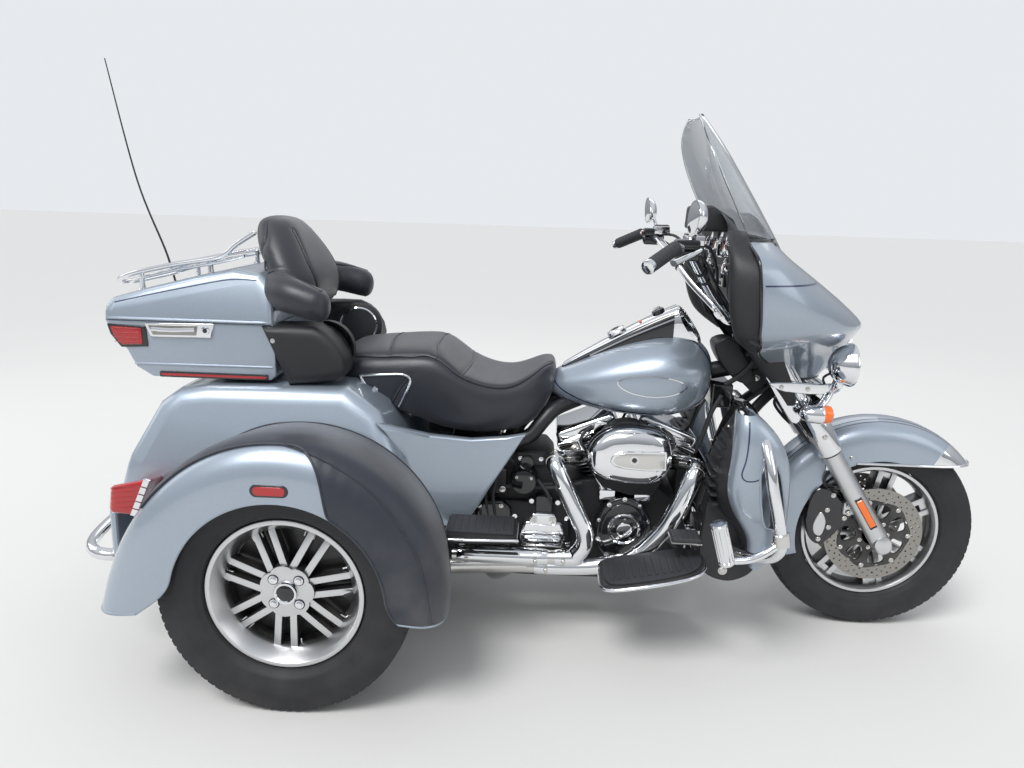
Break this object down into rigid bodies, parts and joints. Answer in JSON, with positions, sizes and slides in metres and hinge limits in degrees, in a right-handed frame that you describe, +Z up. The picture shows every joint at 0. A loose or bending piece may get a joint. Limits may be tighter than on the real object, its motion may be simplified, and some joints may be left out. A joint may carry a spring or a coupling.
{
  "type": "motorized touring trike",
  "caption": "Touring trike with a raked fork, batwing fairing, V-twin engine, hollow trunk, luggage case with a hinged lid, and freely turning wheels.",
  "frame": {"origin": "On the ground below the middle of the vehicle's outer box (the aerial's tip to the front tyre, left to right the middle plane)", "axes": "+X forward, +Y to the rider's left, +Z up"},
  "size_m": [2.8204, 1.392, 1.7007],
  "materials": {
    "paint": "light silver-blue metallic with clear coat",
    "black_steel": "gloss black",
    "cast_black": "satin black casting",
    "engine_alloy": "cast and polished",
    "cylinder_black": "black powder coat with bright fin edges",
    "chrome": "polished chrome",
    "vinyl": "black stitched vinyl",
    "cover_vinyl": "black fabric-backed vinyl",
    "red_lens": "red lens",
    "black_rubber": "ribbed rubber",
    "black_plastic": "fine texture",
    "clear_screen": "clear polycarbonate",
    "tyre": "worn black tread",
    "wheel_alloy": "machined faces"
  },
  "bodies": {
    "chassis": {"frame": "black_steel", "rear_axle": "cast_black", "engine": "engine_alloy", "cylinder_rear": "cylinder_black", "cylinder_front": "cylinder_black", "air_cleaner": "chrome", "exhaust": "chrome", "fuel_tank": "paint", "console": "chrome", "seat": "vinyl", "side_covers": "paint", "trunk_body": "paint", "fender_right": "paint", "fender_left": "paint", "fender_cover_right": "cover_vinyl", "fender_cover_left": "cover_vinyl", "tail_lamp_right": "red_lens", "tail_lamp_left": "red_lens", "bumper": "chrome", "footboard_right": "black_rubber", "footboard_left": "black_rubber", "passenger_board_right": "black_rubber", "passenger_board_left": "black_rubber", "engine_guard": "chrome", "leg_shield_right": "paint", "leg_shield_left": "paint", "luggage_case": "paint", "speaker_pod_right": "black_plastic", "speaker_pod_left": "black_plastic", "aerial": "black_plastic"},
    "steering": {"fork": "chrome", "front_fender": "paint", "fairing": "paint", "dash": "black_plastic", "windshield": "clear_screen", "handlebar": "chrome", "headlight": "chrome", "front_lamps": "chrome"},
    "front_wheel": {"front_tyre": "tyre", "front_rim": "wheel_alloy"},
    "rear_wheel_right": {"rear_tyre_right": "tyre", "rear_rim_right": "wheel_alloy"},
    "rear_wheel_left": {"rear_tyre_left": "tyre", "rear_rim_left": "wheel_alloy"},
    "case_lid": {"case_lid": "paint", "luggage_rack": "chrome", "backrest": "vinyl"},
    "trunk_door": {"trunk_door": "paint"}
  },
  "joints": [
    {"name": "steering", "type": "hinge", "parent": "chassis", "child": "steering", "pos_m": [0.7828, 0, 0.84], "axis": [-0.4384, 0, 0.8988], "range_deg": [-32, 32]},
    {"name": "front_wheel_spin", "type": "hinge", "parent": "steering", "child": "front_wheel", "pos_m": [1.0925, 0, 0.318], "axis": [0, 1, 0], "continuous": true},
    {"name": "rear_wheel_right_spin", "type": "hinge", "parent": "chassis", "child": "rear_wheel_right", "pos_m": [-0.5765, -0.5575, 0.323], "axis": [0, 1, 0], "continuous": true},
    {"name": "rear_wheel_left_spin", "type": "hinge", "parent": "chassis", "child": "rear_wheel_left", "pos_m": [-0.5765, 0.5575, 0.323], "axis": [0, 1, 0], "continuous": true},
    {"name": "lid_hinge", "type": "hinge", "parent": "chassis", "child": "case_lid", "pos_m": [-0.89, 0.298, 0.946], "axis": [-1, 0, 0], "range_deg": [0, 75]},
    {"name": "door_hinge", "type": "hinge", "parent": "chassis", "child": "trunk_door", "pos_m": [-1.1135, 0, 0.442], "axis": [0, -1, 0], "range_deg": [0, 80]}
  ]
}
